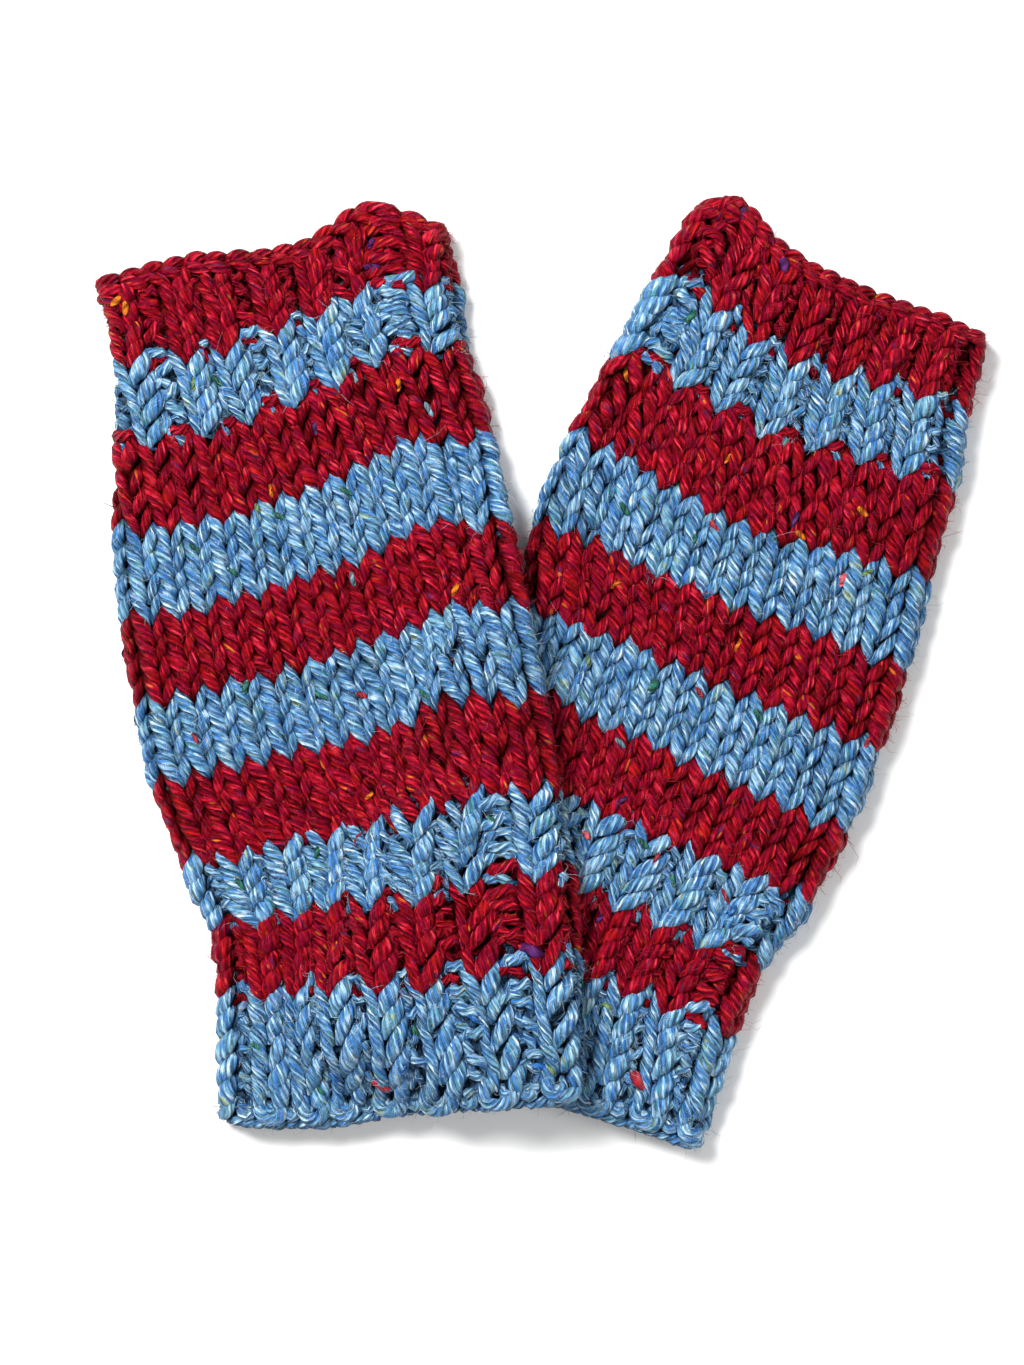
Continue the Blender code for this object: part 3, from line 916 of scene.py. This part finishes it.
def add_strand(mesh, strand, start, first_cell, grid, top):
    """Adds a strand to a mesh, with one cell of the bake map for each of its runs."""
    rings, rise = ring_points(strand.points, strand.out, strand.radius, YARN_SIDES)
    keep_above(rings, strand.lift[:, None])
    # painted shade: each point is darker the lower it lies under the top, in crevices and on the yarn's
    # sides
    shade = smooth_step((strand.depth[:, None] + rise + SHADE_DEPTH) / (top + SHADE_DEPTH))
    steps = np.linalg.norm(np.roll(strand.points, -1, 0) - strand.points, axis=1)
    u = start + np.concatenate(([0.0], np.cumsum(steps)))
    v = np.arange(YARN_SIDES + 1) / YARN_SIDES * YARN_ROUND
    yarn = quad_corners(u / MM, v / MM)
    per_run = len(strand.points) // strand.runs
    bake = cell_corners(first_cell, strand.runs, per_run, YARN_SIDES, grid)
    mesh.add(rings[None], True, yarn, bake, shade[None], np.zeros(4))


def add_tufts(mesh, glove, tufts, strands, first_cell, grid):
    """Adds small spindles of other fibres, laid over the yarn at their places."""
    tuft = dict(zip(TUFT_COLUMNS, (np.array(column) for column in zip(*tufts))))
    points, radius = gather(strands, "points", "radius")
    turn, row = tuft["across"], tuft["row"]
    middle, out, lift = glove.cloth(turn, row)
    way_across = unit(glove.middle(turn + 0.01, row)[0] - glove.middle(turn - 0.01, row)[0])
    way_up = np.cross(out, way_across)
    angle = np.radians(tuft["angle"])[:, None]
    ahead = way_across * np.cos(angle) + way_up * np.sin(angle)
    side = np.cross(out, ahead)
    t = np.linspace(-1, 1, TUFT_STEPS + 1)
    half = tuft["length"][:, None, None] * MM / 2
    line = middle[:, None] + ahead[:, None] * half * t[None, :, None]
    thick = tuft["width"][:, None] * MM / 2 * (0.12 + 0.88 * np.sqrt(1 - t**2))[None, :]
    for i, way in enumerate(out):
        away = points[None] - line[i][:, None]
        above = away @ way
        beside = np.sum(away**2, axis=-1) - above**2
        top = above + np.sqrt(np.maximum(radius**2 - beside, 0))
        surface = np.where(beside < radius**2, top, 0.0).max(axis=1)
        line[i] += way * np.maximum(surface, surface.max() - TUFT_SAG)[:, None]
    turn_round = 2 * math.pi * np.arange(TUFT_SIDES) / TUFT_SIDES
    flat = out[:, None] * TUFT_FLAT
    offset = side[:, None] * np.cos(turn_round)[:, None] + flat * np.sin(turn_round)[:, None]
    rings = line[:, :, None] + offset[:, None] * thick[..., None, None]
    keep_above(rings, lift[:, None, None])
    bake = cell_corners(first_cell, len(tufts), TUFT_STEPS, TUFT_SIDES, grid)
    yarn = bake * TUFT_MAP
    colour = np.array([(*TUFT_COLOURS[name], 1.0) for name in tuft["colour"]])
    colour = colour[:, None, None, :].repeat(TUFT_STEPS + 1, 1)
    colour[..., 3] = (1 - t**4)[None, :, None]
    mesh.add(rings, False, yarn, bake, 1.0, colour)


def node(tree, kind, **settings):
    made = tree.nodes.new(kind)
    for name, value in settings.items():
        setattr(made, name, value)
    return made


def turned(tree, source, angle, length, width):
    """The yarn's map, drawn out along the fibres, which wind round it at an angle."""
    made = node(tree, "ShaderNodeMapping", vector_type="TEXTURE")
    made.inputs["Rotation"].default_value = (0.0, 0.0, angle)
    made.inputs["Scale"].default_value = (length, width, 1.0)
    tree.links.new(source, made.inputs["Vector"])
    return made.outputs["Vector"]


def streaks(tree, source, angle, length, width, detail):
    noise = node(tree, "ShaderNodeTexNoise", noise_dimensions="2D")
    noise.inputs["Scale"].default_value = 1.0
    noise.inputs["Detail"].default_value = detail
    noise.inputs["Roughness"].default_value = 0.6
    tree.links.new(turned(tree, source, angle, length, width), noise.inputs["Vector"])
    return noise.outputs["Fac"]


def threads(tree, source, angle, width):
    """Even ridges of that width along the fibres, as the plies of the yarn lie."""
    wave = node(tree, "ShaderNodeTexWave", wave_type="BANDS", bands_direction="Y")
    wave.inputs["Scale"].default_value = math.pi / 10 / width
    wave.inputs["Distortion"].default_value = 1.6
    wave.inputs["Detail"].default_value = 1.0
    wave.inputs["Detail Scale"].default_value = 0.8
    tree.links.new(turned(tree, source, angle, 1.0, 1.0), wave.inputs["Vector"])
    return wave.outputs["Fac"]


def mix(tree, share, first, second, blend="MIX"):
    made = node(tree, "ShaderNodeMix", data_type="RGBA", blend_type=blend)
    for index, value in ((0, share), (6, first), (7, second)):
        if isinstance(value, bpy.types.NodeSocket):
            tree.links.new(value, made.inputs[index])
        else:
            made.inputs[index].default_value = value if index == 0 else (*value, 1.0)
    return made.outputs[2]


def ramp(tree, source, stops, kind="LINEAR"):
    made = node(tree, "ShaderNodeValToRGB")
    made.color_ramp.interpolation = kind
    elements = made.color_ramp.elements
    while len(elements) < len(stops):
        elements.new(0.5)
    for element, (place, colour) in zip(elements, stops):
        element.position = place
        element.color = (*colour, 1.0)
    tree.links.new(source, made.inputs["Fac"])
    return made.outputs["Color"]


def grey(value):
    return (value, value, value)


def bump_node(tree, height, distance, before=None):
    made = node(tree, "ShaderNodeBump")
    made.inputs["Distance"].default_value = distance
    tree.links.new(height, made.inputs["Height"])
    if before is not None:
        tree.links.new(before, made.inputs["Normal"])
    return made.outputs["Normal"]


def yarn_material(name, colours):
    """Plied tweed yarn: silky fibres, streaks of darker dye whose lightest end is painted highlight,
    painted shade in crevices and between plies, and flecks.
    """
    material, shader = new_material(name)
    tree = material.node_tree
    yarn = node(tree, "ShaderNodeUVMap", uv_map="yarn").outputs["UV"]
    shade = node(tree, "ShaderNodeAttribute", attribute_name="shade").outputs["Fac"]
    fleck = node(tree, "ShaderNodeAttribute", attribute_name="fleck")
    noise = {key: streaks(tree, yarn, *values) for key, values in STREAKS.items()}
    plies = threads(tree, yarn, FIBRE_ANGLE, PLY_WIDTH)

    def tint(colour, source, first, second, other):
        """Another colour, by a share that goes from first to second along a noise."""
        stops = [(place, grey(share)) for place, share in (first, second)]
        return mix(tree, ramp(tree, source, stops), colour, other)

    def darken(colour, source, *stops):
        return mix(tree, 1.0, colour, ramp(tree, source, stops), "MULTIPLY")

    # the fibres' streaks run from darker dye to the light colour, whose lightest streaks are painted
    # highlights of the silky fibres
    names = ("dark", "low", "middle", "high", "light")
    dyes_and_highlights = [(place, colours[key]) for place, key in zip((0.28, 0.40, 0.52, 0.62, 0.73), names)]
    kinds = [(0.30 + 0.11 * i, kind) for i, kind in enumerate(colours["flecks"])]
    kinds = ramp(tree, noise["patches"], kinds, "CONSTANT")
    start = colours["flecks_from"]
    edge = node(tree, "ShaderNodeMath")
    tree.links.new(fleck.outputs["Alpha"], edge.inputs[0])
    tree.links.new(noise["hairs"], edge.inputs[1])
    # the painted shade's colours, at the bottom of crevices and between the legs
    bottom, between = colours["painted_shade"]
    colour = ramp(tree, noise["fibres"], dyes_and_highlights)
    colour = tint(colour, noise["patches"], (0.30, 0.5), (0.46, 0.0), colours["high"])
    colour = tint(colour, noise["patches"], (0.52, 0.0), (0.72, 0.6), colours["warm"])
    colour = tint(colour, noise["tints"], (0.51, 0.0), (0.60, 0.85), colours["cold"])
    colour = tint(colour, noise["tufts"], (start, 0.0), (start + 0.06, 0.8), kinds)
    colour = tint(colour, edge.outputs[0], (0.80, 0.0), (0.95, 1.0), fleck.outputs["Color"])
    # painted shade in the grooves between the plies
    colour = darken(colour, plies, (0.0, grey(0.42)), (0.42, grey(1.0)))
    colour = darken(colour, noise["hairs"], (0.30, grey(0.70)), (0.50, grey(1.0)))
    # stray fibres, which the yarn really has, lightened towards the light colour as painted highlights
    colour = tint(colour, noise["stray"], (0.70, 0.0), (0.78, 0.5), colours["light"])
    # painted shade: the lower the yarn lies, in crevices, between legs and on its sides, the darker its
    # colour is made
    colour = darken(colour, shade, (0.0, bottom), (0.55, between), (0.92, grey(1.0)))
    tree.links.new(colour, shader.inputs["Base Color"])
    rough = ramp(tree, noise["hairs"], ((0.3, grey(0.72)), (0.7, grey(0.52))))
    tree.links.new(rough, shader.inputs["Roughness"])
    shader.inputs["Specular Tint"].default_value = (*colours["gloss"], 1.0)
    normal = None
    for height, distance in ((plies, 0.52), (noise["fibres"], 0.50), (noise["hairs"], 0.10)):
        normal = bump_node(tree, height, distance * MM, normal)
    tree.links.new(normal, shader.inputs["Normal"])
    return material


def dress(obj, node_name):
    """The piece moves with the part and, with a name, stands for a CAD ring, which it hides."""
    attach(obj, "root")
    if node_name:
        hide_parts(node_name)
    return obj


def knit_stripes(glove):
    """The strands of every stripe, from the wrist up."""
    random = draws(glove, STITCH_SEED)
    owners = [stripe for stripe in STRIPES for _ in range(stripe.rows)]
    above = [stripe.knitting for stripe in owners[1:] + owners[-1:]]
    rows = [knit_row(glove, row, owners[row], above[row], random) for row in range(ROWS)]
    return [rows[end - stripe.rows:end] for stripe, end in zip(STRIPES, STRIPE_ENDS)]


def find_tufts(glove, colour, first, last, random):
    """The tufts of a stripe: those that the front shows and some on the underside."""
    end = math.inf if last == ROWS else last
    tufts = [tuft for tuft in glove.shape.tufts if first <= tuft[1] < end]
    for _ in range(round(TUFTS_BEHIND * (last - first) / ROWS)):
        place = (1 + random.random(), random.uniform(first, last), random.uniform(-80, 80))
        size = (random.uniform(2.4, 4.0), random.uniform(0.9, 1.5))
        tufts.append((*place, *size, TUFT_KINDS[colour][random.integers(4)]))
    return tufts


def make_stripes(glove, stripes, materials):
    """Every stripe's yarn, one piece for each CAD ring between the two edges."""
    random = draws(glove, STRIPE_SEED)
    pieces = []
    for stripe, strands, end in zip(STRIPES, stripes, STRIPE_ENDS):
        mesh = GridMesh()
        for line, strand in enumerate(strands):
            start = random.uniform(0, YARN_LENGTH)
            add_strand(mesh, strand, start, line * STITCHES_ROUND, STRIPE_CELLS, STRIPE_TOP)
        tufts = find_tufts(glove, stripe.colour, end - stripe.rows, end, random)
        add_tufts(mesh, glove, tufts, strands, stripe.rows * STITCHES_ROUND, STRIPE_CELLS)
        name = f"{glove.side}_{stripe.name}_{stripe.colour}"
        obj = mesh.build(f"{name}_yarn", [materials[stripe.colour]])
        pieces.append(dress(obj, name))
    return pieces


def make_edge(glove, name, colour, parts, materials, random):
    mesh = GridMesh()
    strands = []
    for index, settings in enumerate(parts):
        strand = edge_strand(glove, random=random, **settings)
        start = random.uniform(0, YARN_LENGTH)
        add_strand(mesh, strand, start, index * STITCHES_ROUND, EDGE_CELLS, EDGE_TOP)
        strands.append(strand)
    obj = mesh.build(f"{glove.side}_{name}_yarn", [materials[colour]])
    return dress(obj, f"{glove.side}_{name}"), strands


def make_edges(glove, materials):
    """The chain of the bind-off, and the loops and the twisted cord of the cast-on."""
    random = draws(glove, EDGE_SEED)
    even = np.arange(STITCHES_ROUND) * 2.0 / STITCHES_ROUND
    end = float(glove.row_edges[-1])
    top = {"row": end, "height": CHAIN_ROOM / (end - ROWS), "knots": even, "slack": 0.07}
    chain = [{"table": CHAIN_LOWER, **top}, {"table": CHAIN_UPPER, **top}]
    bind_off, red = make_edge(glove, "bind_off_edge", "red", chain, materials, random)
    start = float(glove.row_edges[0])
    bottom = {"row": start, "height": -CAST_ON_ROOM / start, "slack": 0.05}
    ribs = glove.stitch_places(0)[0][0::2]
    loops = [
        {"table": CAST_ON_LOOP, "knots": ribs, **bottom},
        {"table": CAST_ON_CURL, "knots": ribs, **bottom},
        {"table": CORD_FIRST, "knots": even, **bottom},
        {"table": CORD_SECOND, "knots": even, **bottom},
    ]
    cast_on, blue = make_edge(glove, "cast_on_edge", "blue", loops, materials, random)
    return [bind_off, cast_on], {"red": red, "blue": blue}


def make_inner_cloth(glove, materials):
    """A thin closed tube behind the stitches, where the yarn itself has no more gaps."""
    edges = glove.row_edges
    rows = np.linspace(edges[0] + CLOTH_SHORTER, edges[-1] - CLOTH_SHORTER, CLOTH_ROWS)
    turn = np.arange(CLOTH_ROUND) * 2.0 / CLOTH_ROUND
    grid_turn, grid_row = np.meshgrid(turn, rows)
    points, out, lift = glove.cloth(grid_turn.ravel(), grid_row.ravel())
    outside = (CLOTH_OUTSIDE + CLOTH_RIB * glove.ribness(grid_row)).reshape(-1, 1)
    layers = []
    for depth in (outside, outside - CLOTH_THICK):
        layer = points + out * depth
        keep_above(layer, lift)
        layers.append(layer.reshape(CLOTH_ROWS, CLOTH_ROUND, 3))
    surface = np.concatenate((layers[0], layers[1][::-1]))
    count = len(surface)
    lines = np.concatenate((rows, rows[::-1]))
    owners = np.searchsorted(STRIPE_ENDS[:-1] + RIB_RISE, lines, side="right")
    red = np.array([STRIPES[index].colour == "red" for index in owners]).astype(int)
    u = np.arange(CLOTH_ROUND + 1) * CLOTH_MAP
    v = np.append(lines, lines[0]) * ROW / MM
    yarn = quad_corners(v, u)[..., [1, 0, 3, 2, 5, 4, 7, 6]]
    bake = quad_corners(np.linspace(0.01, 0.99, count + 1), np.linspace(0.01, 0.99, CLOTH_ROUND + 1))
    mesh = GridMesh()
    # the cloth has the yarn's colour, darkened by CLOTH_SHADE as painted shade of the gaps
    mesh.add(surface[None], True, yarn, bake, CLOTH_SHADE, np.zeros(4), red[None, :, None])
    obj = mesh.build(f"{glove.side}_inner_cloth", [materials["blue"], materials["red"]])
    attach(obj, "root")
    middle = glove.half_round(np.linspace(0, len(STRIPES), 41)).mean()
    length = sum(glove.middle_step(index) for index in range(len(STRIPES)))
    return obj


def make_fuzz(glove, colour, strands, material):
    """Short fine fibres that stand away from the yarn."""
    random = draws(glove, FUZZ_SEEDS[colour])
    points, out, depth, radius, lift = gather(strands, "points", "out", "depth", "radius", "lift")
    outer = np.flatnonzero(depth > 0.5 * MM)
    edgewise = 1 + FUZZ_AT_EDGES * (1 - np.abs(out[outer, 2]))
    chosen = random.choice(outer, FUZZ_HAIRS, p=edgewise / edgewise.sum())
    up = unit(out[chosen] + random.normal(0, 0.5, (FUZZ_HAIRS, 3)))
    base = points[chosen] + up * radius[chosen][:, None] * 0.95
    way = unit(np.cross(random.normal(0, 1, (FUZZ_HAIRS, 3)), up))
    side = np.cross(up, way)
    length = (FUZZ_SHORTEST + random.exponential(FUZZ_LONGER, FUZZ_HAIRS)) * MM
    curl = random.normal(0, 1.6, FUZZ_HAIRS)
    rise = random.uniform(0.2, 1.1, FUZZ_HAIRS)
    t = np.linspace(0, 1, FUZZ_STEPS + 1)[None, :]
    ahead = (length[:, None] * np.sin(curl[:, None] * t) / curl[:, None])[..., None]
    aside = (length[:, None] * (1 - np.cos(curl[:, None] * t)) / curl[:, None])[..., None]
    high = (length * rise)[:, None] * np.sin(t * 2.0)
    line = base[:, None] + way[:, None] * ahead + side[:, None] * aside + up[:, None] * high[..., None]
    wide = (FUZZ_WIDTH / 2 * (1 - 0.7 * t))[..., None]
    ribbon = unit(side + up * random.normal(0, 1, (FUZZ_HAIRS, 1)))[:, None] * wide
    sheets = np.stack((line - ribbon, line + ribbon), axis=2)
    sheets[..., 2] = np.maximum(sheets[..., 2], lift[chosen][:, None, None] + CLEAR)
    bake = cell_corners(0, FUZZ_HAIRS, FUZZ_STEPS, 1, math.ceil(math.sqrt(FUZZ_HAIRS)))
    yarn = bake * FUZZ_MAP
    mesh = GridMesh()
    tip = np.array([*COLOURS[colour]["fuzz"], 1.0])
    mesh.add(sheets, False, yarn, bake, 1.0, tip, flat=True)
    return dress(mesh.build(f"{glove.side}_{colour}_fuzz", [material]), None)


def make_camera():
    """Straight above, as the photograph was taken, with a long lens."""
    high = PHOTO_HIGH * PIXEL
    data = bpy.data.cameras.new("camera")
    data.lens = LENS
    data.sensor_width = SENSOR
    camera = add_object("camera", data)
    x = (PHOTO_WIDE / 2 - PHOTO_X) * PIXEL - CENTRE_X
    y = (PHOTO_Y - PHOTO_HIGH / 2) * PIXEL - CENTRE_Y
    camera.location = (x, y, high * LENS / SENSOR + THICK)
    bpy.context.scene.camera = camera


def make_floor():
    mesh = bpy.data.meshes.new("floor")
    size = 1.5
    corners = [(-size, -size, 0), (size, -size, 0), (size, size, 0), (-size, size, 0)]
    mesh.from_pydata(corners, [], [(0, 1, 2, 3)])
    floor = add_object("floor", mesh)
    floor.location.z = -0.1 * MM
    material, shader = new_material("floor")
    shader.inputs["Base Color"].default_value = (0.86, 0.86, 0.86, 1.0)
    shader.inputs["Roughness"].default_value = 0.9
    mesh.materials.append(material)


def make_lights():
    world = bpy.data.worlds.new("studio")
    bpy.context.scene.world = world
    world.use_nodes = True
    world.node_tree.nodes["Background"].inputs["Color"].default_value = (1.0, 1.0, 1.0, 1.0)
    world.node_tree.nodes["Background"].inputs["Strength"].default_value = WORLD_LIGHT
    for name, place, size, power in LIGHTS:
        data = bpy.data.lights.new(name, "AREA")
        data.size = size
        data.energy = power
        light = add_object(name, data)
        light.location = place
        light.rotation_euler = (-Vector(place)).to_track_quat("-Z", "Y").to_euler()


def main():
    bpy.context.scene.view_settings.view_transform = "Standard"
    make_camera()
    make_lights()
    make_floor()
    materials = {name: yarn_material(f"{name}_yarn", values) for name, values in COLOURS.items()}
    right = Glove("right")
    left = Glove("left", right.outline())
    for glove in (right, left):
        stripes = knit_stripes(glove)
        pieces = make_stripes(glove, stripes, materials)
        edges, edge_strands = make_edges(glove, materials)
        for colour, material in materials.items():
            own = list(edge_strands[colour])
            for stripe, strands in zip(STRIPES, stripes):
                if stripe.colour == colour:
                    own += strands
            pieces.append(make_fuzz(glove, colour, own, material))
        make_inner_cloth(glove, materials)


main()
